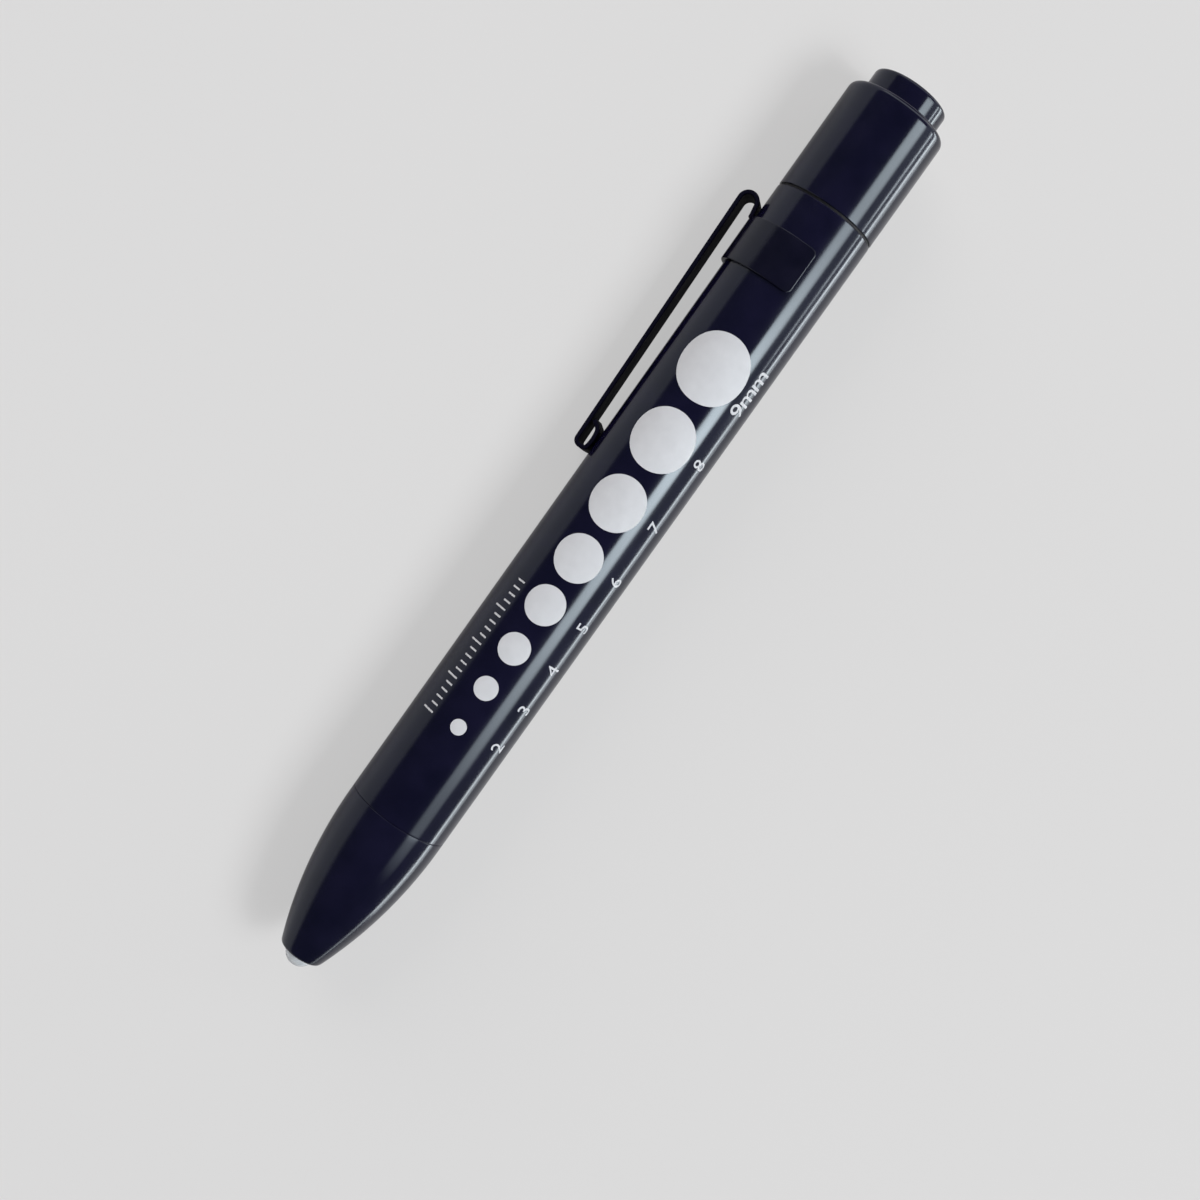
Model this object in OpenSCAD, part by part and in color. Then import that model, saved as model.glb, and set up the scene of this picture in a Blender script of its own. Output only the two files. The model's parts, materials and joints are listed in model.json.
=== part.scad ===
// Pocket penlight with a bullet nose, a push-button tail cap and a bent spring clip.
// Every piece is drawn round the pen's own axis (Z, nose seam at 0, tail positive, clip along +X)
// and then laid on the table: nose towards +X, resting on the clip band and the clip arm.

/* [Body] */
// Wall of the barrel round the cells
wall_t = 1.2; // [1:0.05:1.6]
// Room between the last cell and the barrel's tail shoulder
spring_room = 5.6; // [5:0.1:8]
// Edge break on both sides of a seam
seam_chamfer = 0.2; // [0.1:0.05:0.3]
// Length of the screwed spigots
spigot_len = 4.6; // [3.6:0.1:5]
// Radial clearance of the screwed spigots
thread_clear = 0.05; // [0.02:0.01:0.1]
// Run-out beyond the end of a spigot
thread_relief = 0.5; // [0.3:0.1:0.8]
// Thickness of the rubber seal in the tail seam
seal_t = 0.3; // [0.2:0.05:0.5]
// Depth of the seal below the outside surface
seal_inset = 0.25; // [0.2:0.05:0.4]

/* [Nose] */
// Length of the nose in front of its seam
nose_len = 21.5; // [20:0.5:26]
// Straight land between the seam and the start of the ogive
nose_land = 1; // [0.5:0.1:2]
// Diameter of the nose tip before its rim is rounded
tip_d = 5.7; // [5.5:0.1:6.5]
// Rounding of the tip rim
tip_round = 0.4; // [0.2:0.05:0.5]
// Depth from the nose seam to the seat of the lamp board
board_depth = 7.5; // [6.5:0.1:8.5]
// Bore for the lamp holder
holder_bore_d = 6.6; // [6:0.1:7]
// Length of the narrow bore that takes the lamp flange
flange_bore_len = 2.8; // [2:0.1:3.5]

/* [Lamp] */
// Diameter of the lamp's round lens
led_d = 4; // [3.4:0.1:4.2]
// How far the lens stands out of the tip
led_proud = 1.7; // [1:0.1:1.9]
// Diameter of the lamp's flange
led_flange_d = 5; // [4.6:0.1:5.2]
// Thickness of the lamp's flange
led_flange_t = 1; // [0.6:0.1:1.4]
// Thickness of the wall that the flange seats on
led_lip = 2.3; // [1.8:0.1:2.6]
// Width of a square lead
lead_w = 0.5; // [0.4:0.05:0.6]
// Spacing of the two leads
lead_pitch = 2.54; // [2:0.02:2.8]
// Thickness of the lamp board
board_t = 1; // [0.6:0.1:1.6]
// Diameter of the front contact
front_contact_d = 4; // [3:0.1:5]
// Height of the front contact
front_contact_t = 0.7; // [0.4:0.1:1]

/* [Cells] */
// Diameter of a cell in its jacket
cell_d = 10.4; // [10:0.1:10.5]
// Length of a cell over its nub
cell_len = 44.5; // [44:0.1:44.8]
// Radial play of a cell in the bore
cell_clear = 0.25; // [0.15:0.05:0.3]
// Thickness of the printed jacket
jacket_t = 0.15; // [0.1:0.05:0.25]
// Width of the jacket's lip over a can's end
jacket_lip = 0.9; // [0.5:0.1:1.5]
// Diameter of the positive nub
nub_d = 3.8; // [3.4:0.1:4]
// Height of the positive nub
nub_h = 1; // [0.8:0.1:1.4]
// Diameter of the terminal's brim
brim_d = 6.4; // [5.5:0.1:7]
// Thickness of the terminal's brim
brim_t = 0.3; // [0.2:0.05:0.5]

/* [Tail cap] */
// Length of the tail cap
cap_len = 14.8; // [14.4:0.1:17]
// Rounding of the tail cap's end
cap_round = 0.9; // [0.5:0.1:1.2]
// Thickness of the cap's end round the button
cap_lip = 2; // [1.6:0.1:2.4]
// Diameter of the push button
button_d = 10; // [9.6:0.1:10.2]
// How far the button stands out of the cap
button_proud = 2.8; // [2.4:0.1:3.4]
// Travel of the button
button_travel = 1.8; // [1.2:0.1:2]
// Rounding of the button's end
button_round = 0.5; // [0.3:0.1:0.8]
// Side wall of the hollow button
button_wall = 0.8; // [0.6:0.1:1]
// Thickness of the button's end
button_top = 1.5; // [1:0.1:2]
// Width of the flange that keeps the button in
button_flange_w = 0.5; // [0.4:0.05:0.6]
// Thickness of that flange
button_flange_t = 1.3; // [1:0.1:1.6]
// Radial clearance of the button in the cap
button_clear = 0.08; // [0.05:0.01:0.1]

/* [Switch] */
// Width of the step that the switch housing seats on
housing_step = 0.25; // [0.2:0.05:0.3]
// Diameter of the housing's skirt
skirt_d = 9.6; // [9:0.1:10]
// Length of the housing's skirt
skirt_len = 6; // [5.6:0.1:6.4]
// Wall of the skirt
skirt_wall = 0.6; // [0.5:0.05:0.8]
// Length of the contact chamber in the skirt
chamber_len = 3.4; // [3:0.1:3.6]
// Diameter of the guide bore
guide_d = 5.8; // [5.4:0.1:6]
// Number of guide ribs and of the keys between them
guide_ribs = 4; // [3:1:5]
// Height of a guide rib
rib_h = 0.55; // [0.4:0.05:0.7]
// Width of a guide rib
rib_w = 1.2; // [0.8:0.1:1.4]
// Width of a key
key_w = 1.6; // [1.2:0.1:1.8]
// Length of the plunger's crown
crown_len = 2.6; // [2.2:0.1:3]
// Diameter of the plunger's stem
stem_d = 3; // [2.4:0.1:3.4]
// Number of crown teeth
crown_teeth = 8; // [6:1:10]
// Height of a crown tooth
tooth_h = 0.45; // [0.3:0.05:0.5]
// Thickness of the moving contact
disc_t = 0.4; // [0.3:0.05:0.6]
// Thickness of the plate that carries the battery spring
plate_t = 0.6; // [0.4:0.1:0.8]
// Diameter of the plate's contact stud
stud_d = 2; // [1.4:0.1:2.4]
// Height of the retaining ring
ring_t = 1.2; // [0.8:0.1:1.4]
// Wall of the retaining ring
ring_wall = 0.9; // [0.7:0.05:0.95]

/* [Springs] */
// Wire of the button spring
button_wire = 0.5; // [0.4:0.05:0.6]
// Mean diameter of the button spring
button_coil_d = 7; // [6.8:0.1:7.2]
// Turns of the button spring
button_turns = 5; // [4:0.5:5]
// Wire of the latch spring
latch_wire = 0.4; // [0.3:0.05:0.45]
// Mean diameter of the latch spring
latch_coil_d = 5.2; // [4.6:0.1:5.6]
// Turns of the latch spring
latch_turns = 2.5; // [2:0.5:2.5]
// Wire of the battery spring
battery_wire = 0.6; // [0.5:0.05:0.7]
// Mean diameter of the battery spring at the cell
battery_coil_d = 4.4; // [3.6:0.1:5]
// Mean diameter of the battery spring at its plate
battery_base_d = 7.4; // [6.6:0.1:8]
// Turns of the battery spring
battery_turns = 3.5; // [2.5:0.5:3.5]

/* [Clip] */
// Thickness of the clip strip
clip_t = 0.55; // [0.4:0.05:0.65]
// Width of the clip strip
clip_w = 4; // [3:0.1:5]
// Length of the band along the barrel
band_len = 6; // [4.5:0.1:8]
// Angle that the band wraps
band_wrap = 231; // [200:1:260]
// Rounding of the band's free corners
band_corner = 0.8; // [0.4:0.1:1.2]
// Distance from the band to the barrel's tail shoulder
band_setback = 4.95; // [4:0.05:8]
// Slope of the neck that leaves the band
neck_tilt = 10; // [6:1:20]
// Bend radius at the foot of the neck
neck_bend = 1.2; // [0.8:0.1:1.6]
// Straight run of the neck
neck_run = 1.3; // [1:0.05:1.6]
// Gap between the arm and the barrel beside the band
gap_top = 2.5; // [2.2:0.1:3.2]
// Gap between the arm and the barrel at the curl
gap_low = 1.7; // [1.65:0.05:2.1]
// Length of the clip from the top of its bend to the bottom of its curl
clip_len = 37.1; // [30:0.1:45]
// Radius of the arm's lower corner
toe_bend = 0.72; // [0.55:0.01:0.8]
// Radius of the curl's heel
heel_bend = 0.45; // [0.35:0.01:0.5]
// Radius of the curl's sole on the barrel
sole_bend = 5; // [4:0.1:6]
// Radius of the bend below the curl's tip
tip_bend = 1; // [0.8:0.05:1.2]
// Straight run at the curl's tip
tip_run = 0.8; // [0.4:0.05:0.9]
// Gap between the sole and the barrel
sole_gap = 0.03; // [0.02:0.01:0.1]
// Largest swing of the arm when it is lifted
flex_angle = 4; // [2:0.5:5]

/* [Hidden] */
$fn = 96;

black = "#191726";
satin_black = "#17171a";
steel = "#b9bbbd";
brass = "#c8a24c";
lens_white = "#eef2f4";
board_green = "#2f6b3d";
jacket_blue = "#3b6ea8";
nylon = "#e6e3d8";

// Overrun of every cut
over = 0.5;
// Play between pieces that are fitted by hand
fit_gap = 0.05;

// Turned radii
bore_r = cell_d / 2 + cell_clear;
body_r = bore_r + wall_t;
thread_r = (bore_r + body_r - thread_clear) / 2;
socket_r = thread_r + thread_clear;

// The ogive is one arc from the end of the land to the tip
ogive_len = nose_len - nose_land;
ogive_drop = body_r - tip_d / 2;
ogive_r = (ogive_len * ogive_len + ogive_drop * ogive_drop) / (2 * ogive_drop);
// The rim is an arc that touches the ogive and the flat tip
rim_z = -nose_len + tip_round;
rim_x = body_r - ogive_r + sqrt(pow(ogive_r - tip_round, 2) - pow(rim_z + nose_land, 2));
rim_meet_z = -nose_land + (rim_z + nose_land) * ogive_r / (ogive_r - tip_round);

// Stations of the lamp, from the tip back to the first cell
led_flange_from = -nose_len + led_lip;
led_flange_to = led_flange_from + led_flange_t;
flange_bore_to = led_flange_from + flange_bore_len;
led_dome_z = -nose_len - led_proud + led_d / 2;
board_from = -board_depth;
board_to = board_from + board_t;
front_contact_to = board_to + front_contact_t;
front_cell_from = front_contact_to;
rear_cell_from = front_cell_from + cell_len;
cells_to = rear_cell_from + cell_len;
barrel_len = cells_to + spring_room;

// Stations of the tail, from the seam back to the button
tail_spigot_to = barrel_len + spigot_len;
cap_from = barrel_len + seal_t;
cap_to = cap_from + cap_len;
button_to = cap_to + button_proud;
button_hollow_to = button_to - button_top;
lip_from = cap_to - cap_lip;
button_flange_to = lip_from - fit_gap;
button_flange_from = button_flange_to - button_flange_t;
housing_to = button_flange_from - button_travel - fit_gap;
ring_from = tail_spigot_to + thread_relief + fit_gap;
ring_to = ring_from + ring_t;
skirt_from = ring_to - skirt_len;
plate_from = skirt_from - plate_t;
chamber_to = skirt_from + chamber_len;
disc_to = chamber_to - fit_gap;
disc_from = disc_to - disc_t;
stud_to = disc_from - button_travel - fit_gap;
crown_to = housing_to - fit_gap;
crown_from = crown_to - crown_len;
rotor_to = crown_from - fit_gap;

button_r = button_d / 2;
button_flange_r = button_r + button_flange_w;
cavity_r = button_flange_r + button_clear;
housing_r = cavity_r + housing_step;
skirt_r = skirt_d / 2;
guide_r = guide_d / 2;
crown_r = guide_r - rib_h - fit_gap;
key_r = guide_r - fit_gap;

// The clip's strip, followed along its middle, starts inside the band's edge
neck_root = 0.15;
strip_r = body_r + clip_t / 2;
band_to = barrel_len - band_setback;
band_from = band_to - band_len;
clip_slope = atan((gap_top - gap_low) / clip_len);
neck_top_r = strip_r + neck_bend * (1 - cos(neck_tilt)) + neck_run * sin(neck_tilt);
neck_top_z = band_to + neck_bend * sin(neck_tilt) + neck_run * cos(neck_tilt);
bend_r = (strip_r + gap_top - neck_top_r) / (cos(neck_tilt) + cos(clip_slope));
bend_z = neck_top_z - bend_r * sin(neck_tilt);
clip_apex_z = bend_z + bend_r + clip_t / 2;
clip_end_z = clip_apex_z - clip_len;
// Slit that lets the arm swing about the bend without binding
flex_slit = (bend_r + clip_t / 2) * sin(flex_angle) + sole_gap;
arm_from_z = bend_z - bend_r * sin(clip_slope);
arm_to_z = clip_end_z + clip_t / 2 + toe_bend - toe_bend * sin(clip_slope);
arm_run = (arm_from_z - arm_to_z) / cos(clip_slope);
arm_end_r = strip_r + gap_top - arm_run * sin(clip_slope);

// Headings of the curl, counted from the tail direction and turning outward
arm_heading = 180 + clip_slope;
toe_heading = 275;
heel_heading = 348;
sole_heading = 372;
tip_heading = 415;
toe_end_r = arm_end_r + toe_bend * (cos(arm_heading) - cos(toe_heading));
heel_start_r = strip_r + sole_gap + sole_bend * (1 - cos(heel_heading))
    + heel_bend * (cos(heel_heading) - cos(toe_heading));
toe_run = (heel_start_r - toe_end_r) / sin(toe_heading);

// The pen lies on its band and on the lower edge of the clip arm
band_r = body_r + clip_t;
arm_top_r = body_r + gap_top + clip_t;
clip_dip = asin(band_r / norm([arm_top_r, clip_w / 2])) - atan(clip_w / 2 / arm_top_r);
clip_side = arm_top_r * cos(clip_dip) + clip_w / 2 * sin(clip_dip);
axis_x = (button_to - nose_len - led_proud) / 2;
axis_y = (clip_side - body_r) / 2;
axis_z = band_r;

// Lays the pen's axis along the table
module on_table() {
    translate([axis_x, axis_y, axis_z])
        rotate([90 + clip_dip, 0, 0])
            rotate([0, -90, 0])
                children();
}

// Solid of revolution between two stations
module rod(r, from, to) {
    translate([0, 0, from])
        cylinder(r = r, h = to - from);
}

// Cut through everything between two stations
module bore(r, from, to) {
    translate([0, 0, from - over])
        cylinder(r = r, h = to - from + 2 * over);
}

// Blind cut that stops at its first station
module pocket(r, from, to) {
    translate([0, 0, from])
        cylinder(r = r, h = to - from + over);
}

// Half outline of a rod whose far edge is rounded
module rounded_outline(r, from, to, round_r) {
    translate([0, from])
        square([r, to - from - round_r]);
    translate([0, from])
        square([r - round_r, to - from]);
    translate([r - round_r, to - round_r])
        circle(r = round_r);
}

// Closed tube wound round Z, wire_d thick, between two stations
coil_rings = 8;
coil_sides = 6;

function coil_point(r_from, r_to, z_from, z_to, turns, i) =
    let (share = i / (turns * coil_rings))
    let (r = r_from + (r_to - r_from) * share)
    [r * cos(360 * i / coil_rings), r * sin(360 * i / coil_rings), z_from + (z_to - z_from) * share];

function coil_line(r_from, r_to, z_from, z_to, turns) =
    [for (i = [0:turns * coil_rings]) coil_point(r_from, r_to, z_from, z_to, turns, i)];

// Least clear distance between turns, measured on the points of the line
function coil_gap(line, wire_d) =
    min([for (i = [0:len(line) - 1]) for (j = [i + coil_rings / 2:len(line) - 1]) norm(line[j] - line[i])])
    - wire_d;

module coil(d_from, d_to, wire_d, from, to, turns) {
    wire_r = wire_d / 2;
    line = coil_line(d_from / 2, d_to / 2, from + wire_r, to - wire_r, turns);
    echo(coil_gap = coil_gap(line, wire_d));
    last = len(line) - 1;
    points = [
        for (i = [0:last])
        for (s = [0:coil_sides - 1])
            let (turn = 360 * i / coil_rings, side = 360 * s / coil_sides)
            line[i] + wire_r * [cos(side) * cos(turn), cos(side) * sin(turn), sin(side)]
    ];
    walls = [
        for (i = [0:last - 1])
        for (s = [0:coil_sides - 1])
            let (a = i * coil_sides + s, b = i * coil_sides + (s + 1) % coil_sides)
            each [[a, b, a + coil_sides], [b, b + coil_sides, a + coil_sides]]
    ];
    first_end = [for (s = [1:coil_sides - 2]) [0, s + 1, s]];
    tail = last * coil_sides;
    last_end = [for (s = [1:coil_sides - 2]) [tail, tail + s, tail + s + 1]];
    polyhedron(points = points, faces = concat(walls, first_end, last_end));
}

// Turned nose with its bored seat for the lamp
module nose_outline() {
    intersection() {
        translate([body_r - ogive_r, -nose_land])
            circle(r = ogive_r, $fn = 720);
        translate([0, rim_meet_z])
            square([body_r, -nose_land - rim_meet_z]);
    }
    translate([0, rim_meet_z])
        mirror([0, 1])
            square([rim_x, nose_len + rim_meet_z]);
    translate([rim_x, rim_z])
        circle(r = tip_round);
    polygon([
        [0, -nose_land], [body_r, -nose_land], [body_r, -seam_chamfer],
        [body_r - seam_chamfer, 0], [0, 0]
    ]);
}

module nose_cone() {
    color(black)
        on_table()
            difference() {
                union() {
                    rotate_extrude()
                        nose_outline();
                    rod(thread_r, -over, spigot_len);
                }
                pocket(bore_r, board_from, spigot_len);
                pocket(holder_bore_d / 2, flange_bore_to, board_from);
                pocket(led_flange_d / 2 + fit_gap, led_flange_from, flange_bore_to);
                bore(led_d / 2 + fit_gap, -nose_len, led_flange_from);
            }
}

module led_lens() {
    color(lens_white)
        on_table() {
            translate([0, 0, led_dome_z])
                sphere(d = led_d);
            rod(led_d / 2, led_dome_z, led_flange_from);
            rod(led_flange_d / 2, led_flange_from, led_flange_to);
        }
}

// The two leads run from the lamp's flange to the board
module lead_places() {
    for (side = [-1, 1])
        translate([0, side * lead_pitch / 2, 0])
            children();
}

module led_leads() {
    color(steel)
        on_table()
            lead_places()
                translate([-lead_w / 2, -lead_w / 2, led_flange_to])
                    cube([lead_w, lead_w, board_from - led_flange_to]);
}

module led_holder() {
    color(nylon)
        on_table()
            difference() {
                union() {
                    rod(holder_bore_d / 2 - fit_gap, flange_bore_to, board_from);
                    rod(led_flange_d / 2, led_flange_to, flange_bore_to + over);
                }
                lead_places()
                    bore(lead_w, led_flange_to, board_from);
            }
}

module led_board() {
    color(board_green)
        on_table()
            rod(bore_r - fit_gap, board_from, board_to);
}

module front_contact() {
    color(brass)
        on_table()
            rod(front_contact_d / 2, board_to, front_contact_to);
}

// Tube with a socket for the nose and a spigot for the tail cap
module barrel() {
    socket_to = spigot_len + thread_relief;
    color(black)
        on_table()
            rotate_extrude()
                polygon([
                    [socket_r, 0],
                    [body_r - seam_chamfer, 0],
                    [body_r, seam_chamfer],
                    [body_r, barrel_len - seam_chamfer],
                    [body_r - seam_chamfer, barrel_len],
                    [thread_r, barrel_len],
                    [thread_r, tail_spigot_to - seam_chamfer],
                    [thread_r - seam_chamfer, tail_spigot_to],
                    [bore_r, tail_spigot_to],
                    [bore_r, socket_to],
                    [socket_r, socket_to]
                ]);
}

module tail_seal() {
    color(satin_black)
        on_table()
            difference() {
                rod(body_r - seal_inset, barrel_len, cap_from);
                bore(socket_r, barrel_len, cap_from);
            }
}

// One cell stands with its nub towards the nose, from its first station
can_r = cell_d / 2 - jacket_t;

module cell_can(from) {
    color(steel)
        on_table()
            rod(can_r, from + nub_h + brim_t, from + cell_len);
}

module cell_jacket(from) {
    color(jacket_blue)
        on_table()
            difference() {
                rod(cell_d / 2, from + nub_h + brim_t - jacket_t, from + cell_len);
                pocket(can_r, from + nub_h + brim_t, from + cell_len);
                bore(can_r - jacket_lip, from, from + cell_len);
            }
}

module cell_terminal(from) {
    color(steel)
        on_table() {
            rod(nub_d / 2, from, from + nub_h + brim_t);
            rod(brim_d / 2, from + nub_h, from + nub_h + brim_t);
        }
}

module front_cell_can() {
    cell_can(front_cell_from);
}

module front_cell_jacket() {
    cell_jacket(front_cell_from);
}

module front_cell_terminal() {
    cell_terminal(front_cell_from);
}

module rear_cell_can() {
    cell_can(rear_cell_from);
}

module rear_cell_jacket() {
    cell_jacket(rear_cell_from);
}

module rear_cell_terminal() {
    cell_terminal(rear_cell_from);
}

// The clip is a strip bent in one plane and followed by poses: [station, radius, heading].
// A move [length, 0] runs straight on, and a move [radius, angle] turns outward.
bend_step = 6;

function pose_after(pose, move) =
    let (size = move[0], from = pose[2], to = pose[2] + move[1])
    move[1] == 0
        ? [pose[0] + size * cos(from), pose[1] + size * sin(from), from]
        : [pose[0] + size * (sin(to) - sin(from)), pose[1] + size * (cos(from) - cos(to)), to];

function poses_along(pose, move) =
    let (steps = ceil(move[1] / bend_step))
    move[1] == 0
        ? [pose_after(pose, move)]
        : [for (i = [1:steps]) pose_after(pose, [move[0], move[1] * i / steps])];

function strip_poses(pose, moves, k = 0) =
    k == len(moves)
        ? [pose]
        : concat([pose], strip_poses_after(poses_along(pose, moves[k]), moves, k + 1));

function strip_poses_after(poses, moves, k) =
    let (last = len(poses) - 1)
    concat([for (i = [0:1:last - 1]) poses[i]], strip_poses(poses[last], moves, k));

function strip_side(poses, shift) =
    [for (pose = poses) [pose[0] - shift * sin(pose[2]), pose[1] + shift * cos(pose[2])]];

function reversed(list) =
    [for (i = [len(list) - 1:-1:0]) list[i]];

module strip(poses) {
    rotate([-90, 0, 0])
        rotate([0, 0, -90])
            translate([0, 0, -clip_w / 2])
                linear_extrude(height = clip_w)
                    polygon(concat(
                        strip_side(poses, clip_t / 2),
                        reversed(strip_side(poses, -clip_t / 2))
                    ));
}

neck_poses = strip_poses([band_to - neck_root, strip_r, 0], [
    [neck_root, 0],
    [neck_bend, neck_tilt],
    [neck_run, 0],
    [bend_r, arm_heading - neck_tilt]
]);

arm_poses = strip_poses(pose_after(neck_poses[len(neck_poses) - 1], [flex_slit, 0]), [
    [arm_run - flex_slit, 0],
    [toe_bend, toe_heading - arm_heading],
    [toe_run, 0],
    [heel_bend, heel_heading - toe_heading],
    [sole_bend, sole_heading - heel_heading],
    [tip_bend, tip_heading - sole_heading],
    [tip_run, 0]
]);

// Cut that rounds one corner of the band's free end
module band_corner_cut(end_z, up) {
    rotate([0, 0, -band_wrap / 2])
        translate([0, 0, end_z])
            mirror([0, 0, up ? 1 : 0])
                rotate([0, 90, 0])
                    translate([0, 0, body_r - over])
                        linear_extrude(height = clip_t + 2 * over)
                            difference() {
                                translate([-band_corner, -over])
                                    square([band_corner + over, band_corner + over]);
                                translate([-band_corner, band_corner])
                                    circle(r = band_corner);
                            }
}

module clip_band() {
    color(satin_black)
        on_table() {
            difference() {
                rotate([0, 0, -band_wrap / 2])
                    rotate_extrude(angle = band_wrap)
                        translate([body_r, band_from])
                            square([clip_t, band_len]);
                for (side = [0, 1])
                    mirror([0, side, 0]) {
                        band_corner_cut(band_from, false);
                        band_corner_cut(band_to, true);
                    }
            }
            strip(neck_poses);
        }
}

module clip_arm() {
    color(satin_black)
        on_table()
            strip(arm_poses);
}

module tail_cap() {
    color(black)
        on_table()
            difference() {
                rotate_extrude()
                    difference() {
                        rounded_outline(body_r, cap_from, cap_to, cap_round);
                        polygon([
                            [body_r - seam_chamfer, cap_from], [body_r, cap_from + seam_chamfer],
                            [body_r + seam_chamfer, cap_from], [body_r, cap_from - seam_chamfer]
                        ]);
                    }
                bore(socket_r, cap_from, tail_spigot_to + thread_relief - over);
                pocket(housing_r + fit_gap, tail_spigot_to, housing_to - over);
                pocket(cavity_r, housing_to, lip_from - over);
                bore(button_r + button_clear, lip_from, cap_to);
            }
}

module push_button() {
    color(black)
        on_table()
            difference() {
                union() {
                    rotate_extrude()
                        rounded_outline(button_r, button_flange_from, button_to, button_round);
                    rod(button_flange_r, button_flange_from, button_flange_to);
                }
                bore(button_r - button_wall, button_flange_from, button_hollow_to - over);
            }
}

module button_spring() {
    color(steel)
        on_table()
            coil(button_coil_d, button_coil_d, button_wire, housing_to, button_hollow_to, button_turns);
}

// Evenly spaced bars that reach out from the axis
module radial_bars(count, reach, width, from, to) {
    for (i = [0:count - 1])
        rotate([0, 0, 360 * i / count])
            translate([0, -width / 2, from])
                cube([reach, width, to - from]);
}

// Ring of V-shaped bars, half above and half below a station
module tooth_ring(station) {
    for (i = [0:crown_teeth - 1])
        rotate([0, 0, 360 * i / crown_teeth])
            translate([0, 0, station])
                rotate([90, 0, 90])
                    linear_extrude(height = guide_r)
                        polygon([[-tooth_h, 0], [0, -tooth_h], [tooth_h, 0], [0, tooth_h]]);
}

module switch_housing() {
    color(nylon)
        on_table() {
            difference() {
                union() {
                    rod(housing_r, ring_to, housing_to);
                    rod(skirt_r, skirt_from, ring_to + over);
                }
                bore(skirt_r - skirt_wall, skirt_from, chamber_to - over);
                bore(guide_r, chamber_to, housing_to);
            }
            // Ribs grow from the guide bore towards the axis, between the keys
            rotate([0, 0, 180 / guide_ribs])
                difference() {
                    radial_bars(guide_ribs, guide_r + rib_h, rib_w, chamber_to, housing_to);
                    bore(guide_r - rib_h, chamber_to, housing_to);
                }
        }
}

module switch_plunger() {
    color(nylon)
        on_table() {
            difference() {
                union() {
                    rod(crown_r, crown_from, crown_to);
                    intersection() {
                        radial_bars(guide_ribs, guide_r, key_w, crown_from, crown_to);
                        rod(key_r, crown_from, crown_to);
                    }
                }
                tooth_ring(crown_from);
            }
            rod(stem_d / 2, crown_to - over, button_hollow_to);
        }
}

module latch_rotor() {
    color(nylon)
        on_table() {
            rod(crown_r, disc_to, rotor_to);
            intersection() {
                radial_bars(guide_ribs, guide_r, key_w, disc_to, rotor_to);
                rod(key_r, disc_to, rotor_to);
            }
            intersection() {
                tooth_ring(rotor_to);
                rod(crown_r, rotor_to - tooth_h, rotor_to + tooth_h);
            }
        }
}

module latch_spring() {
    color(steel)
        on_table()
            coil(latch_coil_d, latch_coil_d, latch_wire, skirt_from, disc_from, latch_turns);
}

module contact_disc() {
    color(brass)
        on_table()
            rod(skirt_r - skirt_wall - fit_gap, disc_from, disc_to);
}

module spring_plate() {
    color(brass)
        on_table() {
            rod(skirt_r, plate_from, skirt_from);
            rod(stud_d / 2, skirt_from - plate_t, stud_to);
        }
}

module retaining_ring() {
    color(brass)
        on_table()
            difference() {
                rod(housing_r, ring_from, ring_to);
                bore(housing_r - ring_wall, ring_from, ring_to);
            }
}

module battery_spring() {
    color(steel)
        on_table()
            coil(battery_coil_d, battery_base_d, battery_wire, cells_to, plate_from, battery_turns);
}

nose_cone();
led_lens();
led_leads();
led_holder();
led_board();
front_contact();
barrel();
tail_seal();
front_cell_can();
front_cell_jacket();
front_cell_terminal();
rear_cell_can();
rear_cell_jacket();
rear_cell_terminal();
clip_band();
clip_arm();
tail_cap();
push_button();
button_spring();
switch_housing();
switch_plunger();
latch_rotor();
latch_spring();
contact_disc();
spring_plate();
retaining_ring();
battery_spring();
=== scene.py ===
"""Looks of the penlight: turned shells, clip, springs, printed gauge, materials, camera and light."""

import json
import math

import bmesh
import bpy
from mathutils import Matrix, Vector


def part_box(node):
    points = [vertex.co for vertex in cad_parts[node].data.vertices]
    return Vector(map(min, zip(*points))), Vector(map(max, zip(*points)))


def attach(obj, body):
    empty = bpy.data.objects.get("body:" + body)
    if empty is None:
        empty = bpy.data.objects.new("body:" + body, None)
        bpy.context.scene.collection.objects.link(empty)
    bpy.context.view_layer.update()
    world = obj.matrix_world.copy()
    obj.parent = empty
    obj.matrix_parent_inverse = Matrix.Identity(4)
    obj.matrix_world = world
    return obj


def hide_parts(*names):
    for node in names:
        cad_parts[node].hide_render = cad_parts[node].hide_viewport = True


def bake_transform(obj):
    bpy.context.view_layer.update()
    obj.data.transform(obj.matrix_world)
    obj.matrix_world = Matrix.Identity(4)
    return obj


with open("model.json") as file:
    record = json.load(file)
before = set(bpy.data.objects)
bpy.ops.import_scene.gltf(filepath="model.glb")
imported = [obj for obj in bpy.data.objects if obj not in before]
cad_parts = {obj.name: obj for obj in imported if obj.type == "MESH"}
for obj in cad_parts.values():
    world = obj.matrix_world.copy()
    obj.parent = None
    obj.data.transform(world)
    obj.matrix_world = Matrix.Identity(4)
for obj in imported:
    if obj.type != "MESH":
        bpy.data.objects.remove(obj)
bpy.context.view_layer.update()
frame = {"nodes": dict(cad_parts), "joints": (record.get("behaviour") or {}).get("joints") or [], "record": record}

MM = 0.001
TINY = 1e-6
JOINTS = {joint["name"]: joint for joint in frame["joints"]}

# The pen's own axes: stations run from the nose seam towards the tail, angles from the clip's direction
SEAM_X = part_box("barrel")[1].x
AXIS_Y, AXIS_Z = JOINTS["tail_cap_turn"]["pos_m"][1:]
CLIP_DIP = math.asin(JOINTS["clip_flex"]["axis"][1])

# Angle of the side that the photograph looks at
FACING = 100


def sin_deg(angle):
    """Sine of an angle in degrees."""
    return math.sin(math.radians(angle))


def cos_deg(angle):
    """Cosine of an angle in degrees."""
    return math.cos(math.radians(angle))


def clamp(value):
    """Value kept between 0 and 1."""
    return max(0.0, min(1.0, value))


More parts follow.
